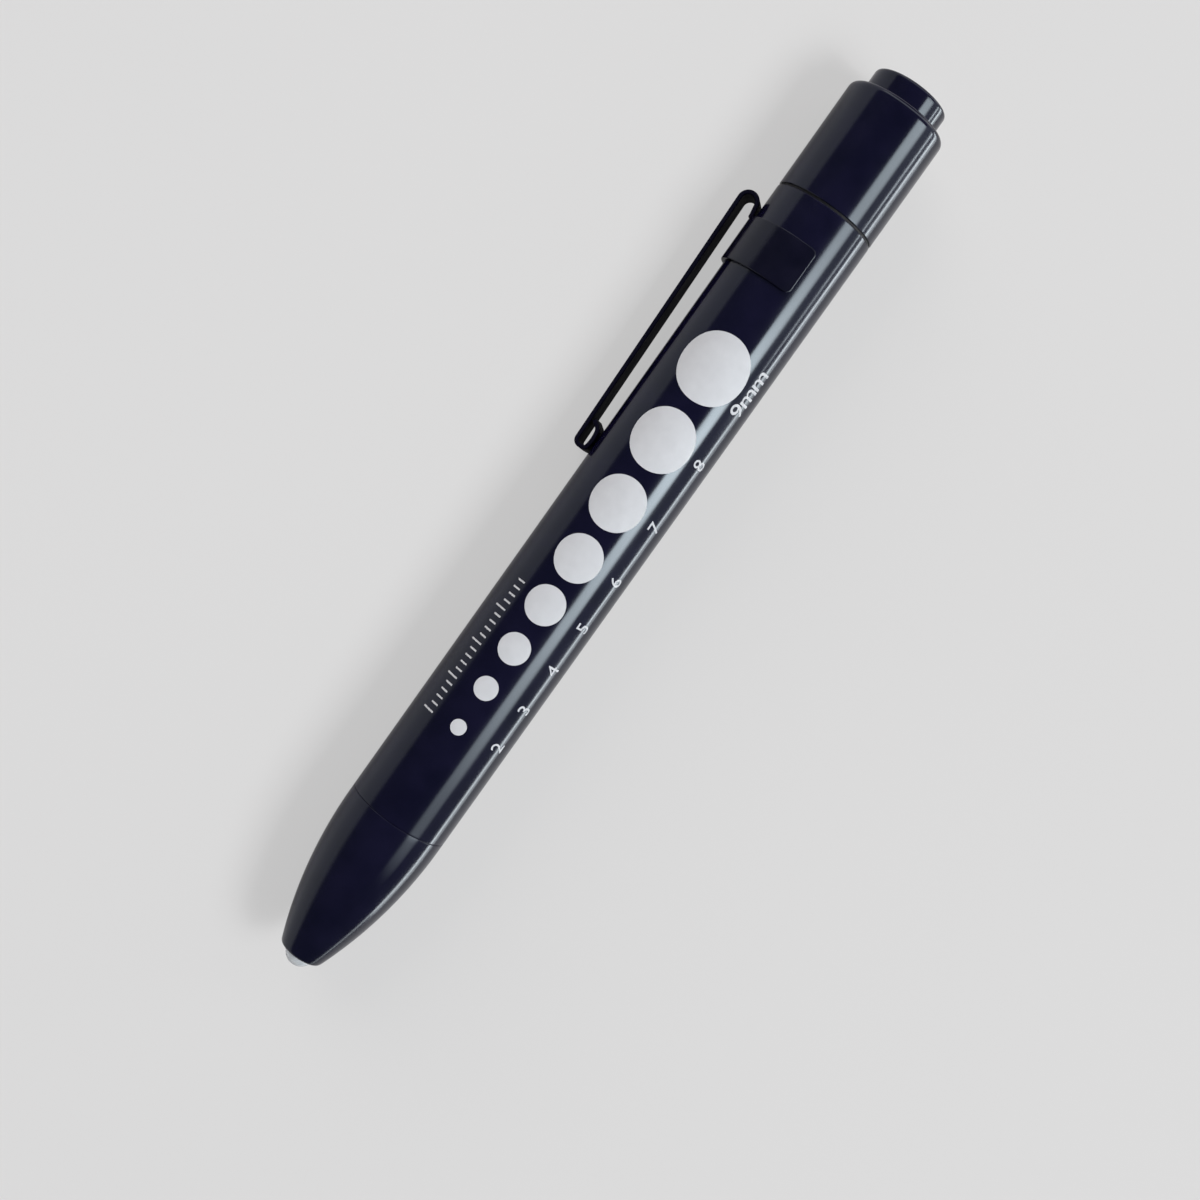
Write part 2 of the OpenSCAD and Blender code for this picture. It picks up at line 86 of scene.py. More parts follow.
def place(out, side, station):
    """Point of the shared frame, from the pen's own axes in millimetres."""
    return Vector((
        SEAM_X - station * MM,
        AXIS_Y - (out * math.cos(CLIP_DIP) + side * math.sin(CLIP_DIP)) * MM,
        AXIS_Z - (out * math.sin(CLIP_DIP) - side * math.cos(CLIP_DIP)) * MM,
    ))


def at(station, radius, angle):
    """Point of the shared frame at a station, a radius and an angle in degrees."""
    return place(radius * cos_deg(angle), radius * sin_deg(angle), station)


def make_object(name, bm, sharp_angle=35):
    """Turns a bmesh into a smooth-shaded object whose corners stay crisp."""
    bmesh.ops.remove_doubles(bm, verts=bm.verts, dist=1e-8)
    bmesh.ops.recalc_face_normals(bm, faces=bm.faces)
    mesh = bpy.data.meshes.new(name)
    bm.to_mesh(mesh)
    bm.free()
    mesh.shade_smooth()
    mesh.set_sharp_from_angle(angle=math.radians(sharp_angle))
    obj = bpy.data.objects.new(name, mesh)
    bpy.context.scene.collection.objects.link(obj)
    return obj


def skin(bm, loops):
    """Quads between successive closed loops of vertices, and a face over each end."""
    for low, high in zip(loops, loops[1:]):
        count = len(low)
        for i in range(count):
            j = (i + 1) % count
            bm.faces.new((low[i], low[j], high[j], high[i]))
    bm.faces.new(loops[0])
    bm.faces.new(loops[-1])


# Turned pieces, in millimetres


BODY_R = 6.65
BORE_R = 5.45
THREAD_R = 6.025
SOCKET_R = 6.075
SPIGOT_LEN = 4.6
THREAD_RELIEF = 0.5
FIT_GAP = 0.05

NOSE_LEN = 21.5
NOSE_LAND = 1
TIP_R = 2.85
BOARD_DEPTH = 7.5
HOLDER_R = 3.3
LED_R = 2
LED_PROUD = 1.7
LED_LIP = 2.3
LED_FLANGE_R = 2.5
LED_FLANGE_T = 1
FLANGE_BORE_LEN = 2.8

BARREL_LEN = 88.8
SEAL_T = 0.3
CAP_LEN = 14.8
CAP_LIP = 2
HOUSING_STEP = 0.25
BUTTON_R = 5
BUTTON_PROUD = 2.8
BUTTON_TRAVEL = 1.8
BUTTON_CLEAR = 0.08
BUTTON_WALL = 0.8
BUTTON_TOP = 1.5
BUTTON_FLANGE_W = 0.5
BUTTON_FLANGE_T = 1.3

# Chamfers and roundings of their edges
SEAM_EDGE = 0.08
SPIGOT_EDGE = 0.2
SEAM_ROUND = 0.03
LAMP_ROUND = 0.08
TIP_ROUND = 0.4
CAP_ROUND = 0.9
LIP_ROUND = 0.12
BUTTON_ROUND = 0.5
FLANGE_ROUND = 0.1

# A ring of vertices this far from an edge keeps the shading of the straight side beside it straight
FLAT_FROM = 0.3

# Stations and radii that follow from these
LED_HOLE_R = LED_R + FIT_GAP
FLANGE_BORE_R = LED_FLANGE_R + FIT_GAP
LED_FLANGE_FROM = LED_LIP - NOSE_LEN
LED_FLANGE_TO = LED_FLANGE_FROM + LED_FLANGE_T
FLANGE_BORE_TO = LED_FLANGE_FROM + FLANGE_BORE_LEN
DOME_AT = LED_R - LED_PROUD - NOSE_LEN
NOSE_SOCKET_TO = SPIGOT_LEN + THREAD_RELIEF
SPIGOT_TO = BARREL_LEN + SPIGOT_LEN
CAP_SOCKET_TO = SPIGOT_TO + THREAD_RELIEF
CAP_FROM = BARREL_LEN + SEAL_T
CAP_TO = CAP_FROM + CAP_LEN
LIP_FROM = CAP_TO - CAP_LIP
LIP_R = BUTTON_R + BUTTON_CLEAR
BUTTON_TO = CAP_TO + BUTTON_PROUD
BUTTON_HOLLOW_TO = BUTTON_TO - BUTTON_TOP
BUTTON_HOLLOW_R = BUTTON_R - BUTTON_WALL
BUTTON_FLANGE_R = BUTTON_R + BUTTON_FLANGE_W
BUTTON_FLANGE_TO = LIP_FROM - FIT_GAP
BUTTON_FLANGE_FROM = BUTTON_FLANGE_TO - BUTTON_FLANGE_T
HOUSING_TO = BUTTON_FLANGE_FROM - BUTTON_TRAVEL - FIT_GAP
CAVITY_R = BUTTON_FLANGE_R + BUTTON_CLEAR
HOUSING_BORE_R = CAVITY_R + HOUSING_STEP + FIT_GAP

# The tail spigot's thread, behind a short groove at the seam
GROOVE_R = 5.8
GROOVE_LEN = 0.2
SPIGOT_FROM = BARREL_LEN + GROOVE_LEN
THREAD_PITCH = 0.75
THREAD_DEPTH = 0.34
THREAD_STEEPNESS = 2.6
THREAD_CREST = 0.15
THREAD_FADE = 0.5
THREAD_FROM = SPIGOT_FROM + 0.3
THREAD_TO = SPIGOT_TO - 0.15
RINGS_PER_PITCH = 10


def softened(outline, steps=5):
    """Outline of (station, radius) points in which a third number rounds the corner by that much."""
    smooth = []
    count = len(outline)
    for i, point in enumerate(outline):
        here = Vector(point[:2])
        if len(point) < 3:
            smooth.append(here)
            continue
        before = (Vector(outline[i - 1][:2]) - here).normalized() * point[2]
        after = (Vector(outline[(i + 1) % count][:2]) - here).normalized() * point[2]
        for k in range(steps + 1):
            share = k / steps
            smooth.append(here + before * (1 - share) ** 2 + after * share ** 2)
    return smooth


def thread_depth(station, angle):
    """Depth of the tail thread below its crest: a right-hand V with flats, faded at both ends."""
    phase = (station / THREAD_PITCH - angle / 360) % 1
    groove = THREAD_STEEPNESS * (0.5 - abs(phase - 0.5)) - THREAD_CREST
    fade = min(station - THREAD_FROM, THREAD_TO - station) / THREAD_FADE
    return THREAD_DEPTH * clamp(groove) * clamp(fade)


def lathe(name, outline, segments=192, depth=None):
    """Closed solid turned about the pen's axis. Points on it become poles, and depth cuts a thread."""
    bm = bmesh.new()
    rings = []
    for station, radius in outline:
        if radius < TINY:
            rings.append([bm.verts.new(at(station, 0, 0))])
            continue
        threaded = depth and abs(radius - THREAD_R) < TINY
        ring = []
        for k in range(segments):
            angle = 360 * k / segments
            cut = depth(station, angle) if threaded else 0
            ring.append(bm.verts.new(at(station, radius - cut, angle)))
        rings.append(ring)
    for low, high in zip(rings, rings[1:] + rings[:1]):
        if len(low) == 1 and len(high) == 1:
            continue
        for i in range(segments):
            j = (i + 1) % segments
            corners = [low[i % len(low)], low[j % len(low)], high[j % len(high)], high[i % len(high)]]
            bm.faces.new(list(dict.fromkeys(corners)))
    return make_object(name, bm)


def ogive(count):
    """Outside of the nose from the tip back to its short land."""
    length = NOSE_LEN - NOSE_LAND
    drop = BODY_R - TIP_R
    arc_r = (length * length + drop * drop) / (2 * drop)
    points = []
    for k in range(count + 1):
        back = length * (1 - k / count)
        points.append((-NOSE_LAND - back, BODY_R - arc_r + math.sqrt(arc_r * arc_r - back * back)))
    return points


def make_nose():
    """Nose with ogive, spigot and stepped bore. The tip's rounding stands for the arc's first points."""
    arc = ogive(48)
    return lathe("nose_shell", softened(
        [(-NOSE_LEN, LED_HOLE_R, LAMP_ROUND), (-NOSE_LEN, arc[0][1], TIP_ROUND)]
        + arc[2:]
        + [
            (-SEAM_EDGE, BODY_R, SEAM_ROUND), (0, BODY_R - SEAM_EDGE, SEAM_ROUND),
            (0, THREAD_R), (SPIGOT_LEN, THREAD_R),
            (SPIGOT_LEN, BORE_R), (-BOARD_DEPTH, BORE_R),
            (-BOARD_DEPTH, HOLDER_R), (FLANGE_BORE_TO, HOLDER_R),
            (FLANGE_BORE_TO, FLANGE_BORE_R), (LED_FLANGE_FROM, FLANGE_BORE_R),
            (LED_FLANGE_FROM, LED_HOLE_R),
        ]
    ))


def make_barrel():
    """Barrel with the nose's socket and the threaded tail spigot."""
    step = THREAD_PITCH / RINGS_PER_PITCH
    count = round((SPIGOT_TO - SPIGOT_EDGE - SPIGOT_FROM) / step)
    return lathe("barrel_tube", softened(
        [
            (0, SOCKET_R), (0, BODY_R - SEAM_EDGE, SEAM_ROUND),
            (SEAM_EDGE, BODY_R, SEAM_ROUND), (FLAT_FROM, BODY_R),
            (BARREL_LEN - FLAT_FROM, BODY_R), (BARREL_LEN - SEAM_EDGE, BODY_R, SEAM_ROUND),
            (BARREL_LEN, BODY_R - SEAM_EDGE, SEAM_ROUND), (BARREL_LEN, GROOVE_R),
            (SPIGOT_FROM, GROOVE_R),
        ]
        + [(SPIGOT_FROM + step * k, THREAD_R) for k in range(count + 1)]
        + [
            (SPIGOT_TO, THREAD_R - SPIGOT_EDGE), (SPIGOT_TO, BORE_R),
            (NOSE_SOCKET_TO, BORE_R), (NOSE_SOCKET_TO, SOCKET_R),
        ]
    ), depth=thread_depth)


def make_cap():
    """Tail cap with its rounded rim, the lip over the button and the switch's room."""
    return lathe("cap_shell", softened([
        (CAP_FROM, SOCKET_R), (CAP_FROM, BODY_R - SEAM_EDGE, SEAM_ROUND),
        (CAP_FROM + SEAM_EDGE, BODY_R, SEAM_ROUND), (CAP_FROM + FLAT_FROM, BODY_R),
        (CAP_TO - CAP_ROUND - FLAT_FROM, BODY_R), (CAP_TO, BODY_R, CAP_ROUND),
        (CAP_TO, LIP_R, LIP_ROUND), (LIP_FROM, LIP_R),
        (LIP_FROM, CAVITY_R), (HOUSING_TO, CAVITY_R),
        (HOUSING_TO, HOUSING_BORE_R), (CAP_SOCKET_TO, HOUSING_BORE_R),
        (CAP_SOCKET_TO, SOCKET_R),
    ], steps=9))


def make_button():
    """Hollow button with the flange that keeps it in."""
    return lathe("button_shell", softened([
        (BUTTON_FLANGE_FROM, BUTTON_FLANGE_R, FLANGE_ROUND),
        (BUTTON_FLANGE_TO, BUTTON_FLANGE_R, FLANGE_ROUND),
        (BUTTON_FLANGE_TO, BUTTON_R), (BUTTON_TO - BUTTON_ROUND - FLAT_FROM, BUTTON_R),
        (BUTTON_TO, BUTTON_R, BUTTON_ROUND), (BUTTON_TO, BUTTON_R - BUTTON_ROUND - FLAT_FROM),
        (BUTTON_TO, 0), (BUTTON_HOLLOW_TO, 0),
        (BUTTON_HOLLOW_TO, BUTTON_HOLLOW_R), (BUTTON_FLANGE_FROM, BUTTON_HOLLOW_R),
    ], steps=8))


def make_lamp(count=24):
    """The lamp's epoxy body: dome, straight part and flange."""
    dome = []
    for k in range(count + 1):
        angle = 90 * k / count
        dome.append((DOME_AT - LED_R * cos_deg(angle), LED_R * sin_deg(angle)))
    flange = softened([
        (LED_FLANGE_FROM, LED_R), (LED_FLANGE_FROM, LED_FLANGE_R, LAMP_ROUND),
        (LED_FLANGE_TO, LED_FLANGE_R, LAMP_ROUND), (LED_FLANGE_TO, 0),
    ])
    return lathe("lamp_body", dome + flange, segments=96)


nose_shell = make_nose()
barrel_tube = make_barrel()
cap_shell = make_cap()
button_shell = make_button()
lamp_body = make_lamp()


# Clip, in millimetres and degrees


STRIP_T = 0.55
STRIP_W = 4
STRIP_EDGE = 0.13
STRIP_R = BODY_R + STRIP_T / 2
BAND_FROM = 77.85
BAND_TO = 83.85
BAND_WRAP = 231
BAND_CORNER = 0.8
NECK_ROOT = 0.15
NECK_TILT = 10
NECK_BEND = 1.2
NECK_RUN = 1.3
GAP_TOP = 2.5
GAP_LOW = 1.7
CLIP_LEN = 37.1
TOE_BEND = 0.72
HEEL_BEND = 0.45
SOLE_BEND = 5
TIP_BEND = 1
TIP_RUN = 0.8
SOLE_GAP = 0.03
TOE_HEADING = 275
HEEL_HEADING = 348
SOLE_HEADING = 372
TIP_HEADING = 415


def strip_section(half_w, half_t, steps=4):
    """Rounded rectangle of (across, through) points. Extra ones keep its wide sides' shading flat."""
    points = []
    for corner in range(4):
        across = half_w - STRIP_EDGE if corner in (0, 3) else STRIP_EDGE - half_w
        through = half_t - STRIP_EDGE if corner in (0, 1) else STRIP_EDGE - half_t
        for k in range(steps + 1):
            turn = 90 * (corner + k / steps)
            points.append((across + STRIP_EDGE * cos_deg(turn), through + STRIP_EDGE * sin_deg(turn)))
        if corner in (0, 2):
            across, through = points[-1]
            inner = math.copysign(abs(across) - STRIP_EDGE, across)
            points += [(inner, through), (-inner, through)]
    return points


def run_on(poses, size, angle, step=3):
    """Adds poses (station, radius, heading): a straight run or, with an angle, a bend of radius size."""
    station, radius, heading = poses[-1]
    if angle == 0:
        count = max(1, math.ceil(size))
        for k in range(1, count + 1):
            run = size * k / count
            poses.append((station + run * cos_deg(heading), radius + run * sin_deg(heading), heading))
        return
    count = math.ceil(angle / step)
    for k in range(1, count + 1):
        to = heading + angle * k / count
        poses.append((
            station + size * (sin_deg(to) - sin_deg(heading)),
            radius + size * (cos_deg(heading) - cos_deg(to)),
            to,
        ))


def clip_poses():
    """Middle line of the strip: neck, top bend, arm and curl."""
    slope = math.degrees(math.atan((GAP_TOP - GAP_LOW) / CLIP_LEN))
    neck_r = STRIP_R + NECK_BEND * (1 - cos_deg(NECK_TILT)) + NECK_RUN * sin_deg(NECK_TILT)
    neck_z = BAND_TO + NECK_BEND * sin_deg(NECK_TILT) + NECK_RUN * cos_deg(NECK_TILT)
    bend_r = (STRIP_R + GAP_TOP - neck_r) / (cos_deg(NECK_TILT) + cos_deg(slope))
    bend_z = neck_z - bend_r * sin_deg(NECK_TILT)
    end_z = bend_z + bend_r + STRIP_T / 2 - CLIP_LEN
    arm_from = bend_z - bend_r * sin_deg(slope)
    arm_to = end_z + STRIP_T / 2 + TOE_BEND - TOE_BEND * sin_deg(slope)
    arm_run = (arm_from - arm_to) / cos_deg(slope)
    arm_heading = 180 + slope
    arm_end = STRIP_R + GAP_TOP - arm_run * sin_deg(slope)
    toe_end = arm_end + TOE_BEND * (cos_deg(arm_heading) - cos_deg(TOE_HEADING))
    heel_end = STRIP_R + SOLE_GAP + SOLE_BEND * (1 - cos_deg(HEEL_HEADING))
    heel_start = heel_end + HEEL_BEND * (cos_deg(HEEL_HEADING) - cos_deg(TOE_HEADING))
    toe_run = (heel_start - toe_end) / sin_deg(TOE_HEADING)
    poses = [(BAND_TO - NECK_ROOT, STRIP_R, 0)]
    for size, angle in (
        (NECK_ROOT, 0), (NECK_BEND, NECK_TILT), (NECK_RUN, 0),
        (bend_r, arm_heading - NECK_TILT), (arm_run, 0),
        (TOE_BEND, TOE_HEADING - arm_heading), (toe_run, 0),
        (HEEL_BEND, HEEL_HEADING - TOE_HEADING),
        (SOLE_BEND, SOLE_HEADING - HEEL_HEADING),
        (TIP_BEND, TIP_HEADING - SOLE_HEADING), (TIP_RUN, 0),
    ):
        run_on(poses, size, angle)
    return poses


def make_clip_strip():
    """Strip of the clip from the band's edge to the curl."""
    bm = bmesh.new()
    section = strip_section(STRIP_W / 2, STRIP_T / 2)
    loops = []
    for station, radius, heading in clip_poses():
        loops.append([
            bm.verts.new(place(
                radius + through * cos_deg(heading), across, station - through * sin_deg(heading)
            ))
            for across, through in section
        ])
    skin(bm, loops)
    return make_object("clip_strip", bm)


def make_clip_band(steps=96):
    """Band with soft edges and round corners at its two free ends."""
    bm = bmesh.new()
    half_wrap = BAND_WRAP / 2
    degree = math.radians(1) * STRIP_R
    near_end = [0, 0.02, 0.05, 0.09, 0.13, 0.2, 0.28, 0.38, 0.5, 0.65, BAND_CORNER]
    angles = [-half_wrap + distance / degree for distance in near_end]
    middle_wrap = BAND_WRAP - 2 * BAND_CORNER / degree
    angles += [-middle_wrap / 2 + k * middle_wrap / steps for k in range(1, steps)]
    angles += [-angle for angle in reversed(angles[:len(near_end)])]
    middle = (BAND_FROM + BAND_TO) / 2
    loops = []
    for angle in angles:
        inset = (half_wrap - abs(angle)) * degree
        half = (BAND_TO - BAND_FROM) / 2
        if inset < BAND_CORNER:
            half += math.sqrt(BAND_CORNER ** 2 - (BAND_CORNER - inset) ** 2) - BAND_CORNER
        thin = 0.0
        if inset < STRIP_EDGE:
            thin = STRIP_EDGE - math.sqrt(STRIP_EDGE ** 2 - (STRIP_EDGE - inset) ** 2)
        section = strip_section(half, (STRIP_T - thin) / 2)
        loops.append([
            bm.verts.new(at(middle + across, STRIP_R - thin / 2 + through, angle))
            for across, through in section
        ])
    skin(bm, loops)
    return make_object("clip_ring", bm)


clip_strip = make_clip_strip()
clip_ring = make_clip_band()


# Springs


def wind(name, r_from, r_to, wire_r, start, stop, turns, sides=12, steps=36):
    """Round wire wound between two stations, in millimetres."""
    bm = bmesh.new()
    loops = []
    count = int(turns * steps)
    for k in range(count + 1):
        share = k / count
        radius = r_from + (r_to - r_from) * share
        station = start + wire_r + (stop - start - 2 * wire_r) * share
        angle = 360 * turns * share
        loop = []
        for side in range(sides):
            turn = 360 * side / sides
            along = station + wire_r * sin_deg(turn)
            out = radius + wire_r * cos_deg(turn)
            loop.append(bm.verts.new(at(along, out, angle)))
        loops.append(loop)
    skin(bm, loops)
    return make_object(name, bm, sharp_angle=60)


battery_coil = wind("battery_coil", r_from=2.2, r_to=3.7, wire_r=0.3, start=83.2, stop=88.55, turns=3.5)
button_coil = wind(
    "button_coil", r_from=3.5, r_to=3.5, wire_r=0.25, start=HOUSING_TO, stop=BUTTON_HOLLOW_TO, turns=5
)
latch_coil = wind("latch_coil", r_from=2.6, r_to=2.6, wire_r=0.2, start=89.15, stop=92.1, turns=2.5)


# Printed gauge, in millimetres and degrees


# The film's upper and lower face, from the barrel's surface, and its longest edge in a tick or figure
FILM_TOP = 0.012
FILM_ROOT = -0.012
FILM_STEP = 0.3

DOT_ANGLE = FACING - 1.7
DOT_RING_W = 0.7
DOT_STATIONS = [14.14, 19.83, 25.62, 31.97, 38.76, 46.71, 55.82, 66.01]

FIGURE_ANGLE = FACING + 50
FIGURE_BASE = -1.0
FIGURE_STATIONS = [14.40, 19.95, 25.81, 32.09, 38.89, 46.82, 55.94, 63.75]
FIGURE = {"height": 2.0, "stretch": 0.92, "weight": 0.0}
LAST_FIGURE = {"height": 2.3, "stretch": 1.02, "weight": 0.005}
UNIT_STATIONS = [65.74, 68.17]
UNIT_LETTER = {"height": 1.6, "stretch": 1.0, "weight": 0.006}

TICK_ANGLE = FACING - 42
TICK_COUNT = 20
TICK_FROM = 13.6
TICK_PITCH = 1
TICK_WIDTH = 0.22
TICK_LONG = 1.85
TICK_SHORT = 1.15
TICKS_PER_LONG = 5


def wrap_print(name, bm, station, angle):
    """Lays a flat film (x along the pen, y towards smaller angles, z its height) on the barrel."""
    for vert in bm.verts:
        along, across, height = vert.co
        vert.co = at(station + along, BODY_R + height, angle - math.degrees(across / BODY_R))
    return make_object(name, bm)


def thicken(bm):
    """Turns a flat sheet into a closed film."""
    for vert in bm.verts:
        vert.co.z = FILM_ROOT
    grown = bmesh.ops.extrude_face_region(bm, geom=list(bm.faces), use_keep_orig=True)
    for item in grown["geom"]:
        if isinstance(item, bmesh.types.BMVert):
            item.co.z = FILM_TOP


def print_dot(name, diameter, station, segments=72):
    """Round dot, in rings that bend with the barrel."""
    bm = bmesh.new()
    rings = max(3, math.ceil(diameter / DOT_RING_W))
    previous = [bm.verts.new((0, 0, 0))]
    for k in range(1, rings + 1):
        radius = diameter / 2 * k / rings
        ring = []
        for i in range(segments):
            turn = 2 * math.pi * i / segments
            ring.append(bm.verts.new((radius * math.cos(turn), radius * math.sin(turn), 0)))
        for i in range(segments):
            j = (i + 1) % segments
            if len(previous) == 1:
                bm.faces.new((previous[0], ring[i], ring[j]))
            else:
                bm.faces.new((previous[i], ring[i], ring[j], previous[j]))
        previous = ring
    thicken(bm)
    return wrap_print(name, bm, station, DOT_ANGLE)


def print_tick(name, length, station):
    """Tick of the ruler. Short ones end level with the long ones, on the figures' side."""
    bm = bmesh.new()
    rows = max(2, math.ceil(length / FILM_STEP))
    grid = [
        [bm.verts.new((x * TICK_WIDTH / 2, length * (k / rows - 0.5), 0)) for x in (-1, 1)]
        for k in range(rows + 1)
    ]
    for low, high in zip(grid, grid[1:]):
        bm.faces.new((low[0], low[1], high[1], high[0]))
    thicken(bm)
    lift = (TICK_LONG - length) / 2
    return wrap_print(name, bm, station, TICK_ANGLE + math.degrees(lift / BODY_R))


def print_figure(name, text, station, height, stretch, weight):
    """One plain figure or letter, centred on a station, read from the nose to the tail."""
    curve = bpy.data.curves.new(name, "FONT")
    curve.body = text
    curve.offset = weight
    curve.resolution_u = 6
    source = bpy.data.objects.new(name, curve)
    bpy.context.scene.collection.objects.link(source)
    graph = bpy.context.evaluated_depsgraph_get()
    flat = bpy.data.meshes.new_from_object(source.evaluated_get(graph))
    bpy.data.objects.remove(source)
    bm = bmesh.new()
    bm.from_mesh(flat)
    bmesh.ops.remove_doubles(bm, verts=bm.verts, dist=1e-5)
    low_x, high_x = min(v.co.x for v in bm.verts), max(v.co.x for v in bm.verts)
    low_y, high_y = min(v.co.y for v in bm.verts), max(v.co.y for v in bm.verts)
    size = height / (high_y - low_y)
    for vert in bm.verts:
        vert.co.x = (vert.co.x - (low_x + high_x) / 2) * size * stretch
        vert.co.y = (vert.co.y - low_y) * size + FIGURE_BASE
        vert.co.z = 0
    bmesh.ops.triangulate(bm, faces=bm.faces)
    for _ in range(4):
        long_edges = [edge for edge in bm.edges if edge.calc_length() > FILM_STEP]
        if not long_edges:
            break
        bmesh.ops.subdivide_edges(bm, edges=long_edges, cuts=1)
        bmesh.ops.triangulate(bm, faces=bm.faces)
    slivers = [face for face in bm.faces if face.calc_area() < TINY]
    bmesh.ops.delete(bm, geom=slivers, context="FACES_ONLY")
    thicken(bm)
    return wrap_print(name, bm, station, FIGURE_ANGLE)


prints = []
for size, dot_at, figure_at in zip(range(2, 10), DOT_STATIONS, FIGURE_STATIONS):
    prints.append(print_dot(f"gauge_dot_{size}", size, dot_at))
    style = LAST_FIGURE if size == 9 else FIGURE
    prints.append(print_figure(f"gauge_figure_{size}", str(size), figure_at, **style))
for number, unit_at in enumerate(UNIT_STATIONS):
    prints.append(print_figure(f"gauge_unit_{number}", "m", unit_at, **UNIT_LETTER))
for tick in range(TICK_COUNT):
    tick_length = TICK_SHORT if tick % TICKS_PER_LONG else TICK_LONG
    prints.append(print_tick(f"scale_tick_{tick}", tick_length, TICK_FROM + TICK_PITCH * tick))


# Materials


# Specular tint of the black finishes
COOL_TINT = (0.84, 0.94, 1.0, 1)


def node_material(name):
    """New material with its node tree, its shader and a node of texture coordinates."""
    material = bpy.data.materials.new(name)
    material.use_nodes = True
    tree = material.node_tree
    shader = tree.nodes["Principled BSDF"]
    coords = tree.nodes.new("ShaderNodeTexCoord")
    return material, tree, shader, coords


def noise(tree, coords, scale, detail=3.0, stretch=None):
    """Noise in the piece's own coordinates. A small stretch value draws it out along that axis."""
    texture = tree.nodes.new("ShaderNodeTexNoise")
    texture.inputs["Scale"].default_value = scale
    texture.inputs["Detail"].default_value = detail
    source = coords.outputs["Object"]
    if stretch:
        mapping = tree.nodes.new("ShaderNodeMapping")
        mapping.inputs["Scale"].default_value = stretch
        tree.links.new(source, mapping.inputs["Vector"])
        source = mapping.outputs["Vector"]
    tree.links.new(source, texture.inputs["Vector"])
    return texture.outputs["Fac"]


def ramp(tree, source, stops):
    """Colour ramp of (position, colour) stops."""
    node = tree.nodes.new("ShaderNodeValToRGB")
    elements = node.color_ramp.elements
    while len(elements) < len(stops):
        elements.new(0.5)
    for element, (position, colour) in zip(elements, stops):
        element.position = position
        element.color = (*colour, 1)
    tree.links.new(source, node.inputs["Fac"])
    return node.outputs["Color"]


def span(tree, source, low, high):
    """Maps noise from 0.3 to 0.7 onto a range of values."""
    node = tree.nodes.new("ShaderNodeMapRange")
    node.inputs["From Min"].default_value = 0.3
    node.inputs["From Max"].default_value = 0.7
    node.inputs["To Min"].default_value = low
    node.inputs["To Max"].default_value = high
    tree.links.new(source, node.inputs["Value"])
    return node.outputs["Result"]


def bump(tree, source, shader, strength, distance):
    """Raises the surface by a source, at most by a distance in metres."""
    node = tree.nodes.new("ShaderNodeBump")
    node.inputs["Strength"].default_value = strength
    node.inputs["Distance"].default_value = distance
    tree.links.new(source, node.inputs["Height"])
    tree.links.new(node.outputs["Normal"], shader.inputs["Normal"])


def make_gloss_black():
    """Glossy black anodised aluminium: a navy cast, faint clouding and fine lengthwise haze."""
    material, tree, shader, coords = node_material("gloss_black_aluminium")
    cloud = noise(tree, coords, 260, 4)
    colour = ramp(tree, cloud, [(0.3, (0.0020, 0.0015, 0.0105)), (0.7, (0.0050, 0.0040, 0.0175))])
    tree.links.new(colour, shader.inputs["Base Color"])
    haze = noise(tree, coords, 900, 3, (0.12, 1, 1))
    tree.links.new(span(tree, haze, 0.12, 0.17), shader.inputs["Roughness"])
    bump(tree, noise(tree, coords, 5000, 2, (0.02, 1, 1)), shader, 0.03, 0.000002)
    shader.inputs["IOR"].default_value = 1.48
    shader.inputs["Specular Tint"].default_value = COOL_TINT
    return material


def make_clip_black(name, rough, level):
    """Black-finished spring steel: polished on the band, satin on the strip."""
    material, tree, shader, coords = node_material(name)
    cloud = noise(tree, coords, 420, 4)
    colour = ramp(tree, cloud, [(0.3, (0.0022, 0.0018, 0.0080)), (0.7, (0.0050, 0.0042, 0.0130))])
    tree.links.new(colour, shader.inputs["Base Color"])
    grain = noise(tree, coords, 1500, 3, (0.2, 1, 1))
    tree.links.new(span(tree, grain, *rough), shader.inputs["Roughness"])
    bump(tree, noise(tree, coords, 2600, 2), shader, 0.06, 0.00002)
    shader.inputs["IOR"].default_value = 1.5
    shader.inputs["Specular IOR Level"].default_value = level
    shader.inputs["Specular Tint"].default_value = COOL_TINT
    return material


def make_print_white():
    """White pad print with slight unevenness of ink."""
    material, tree, shader, coords = node_material("white_print")
    ink = noise(tree, coords, 700, 5)
    colour = ramp(tree, ink, [(0.25, (0.56, 0.565, 0.585)), (0.75, (0.605, 0.61, 0.63))])
    tree.links.new(colour, shader.inputs["Base Color"])
    tree.links.new(span(tree, noise(tree, coords, 2200, 2), 0.5, 0.66), shader.inputs["Roughness"])
    bump(tree, noise(tree, coords, 5200, 2), shader, 0.08, 0.00001)
    return material


def make_epoxy():
    """Cloudy clear epoxy of the lamp."""
    material, tree, shader, coords = node_material("lamp_epoxy")
    cloud = noise(tree, coords, 500, 2)
    colour = ramp(tree, cloud, [(0.3, (0.86, 0.90, 0.93)), (0.7, (0.95, 0.97, 0.98))])
    tree.links.new(colour, shader.inputs["Base Color"])
    tree.links.new(span(tree, noise(tree, coords, 1800, 2), 0.08, 0.18), shader.inputs["Roughness"])
    shader.inputs["Transmission Weight"].default_value = 0.35
    shader.inputs["IOR"].default_value = 1.5
    return material


def make_metal(name, dark, light, rough, scale, stretch):
    """Bare metal with drawn or turned grain."""
    material, tree, shader, coords = node_material(name)
    grain = noise(tree, coords, scale, 5, stretch)
    tree.links.new(ramp(tree, grain, [(0.25, dark), (0.75, light)]), shader.inputs["Base Color"])
    tree.links.new(span(tree, grain, *rough), shader.inputs["Roughness"])
    bump(tree, grain, shader, 0.1, 0.00003)
    shader.inputs["Metallic"].default_value = 1.0
    return material


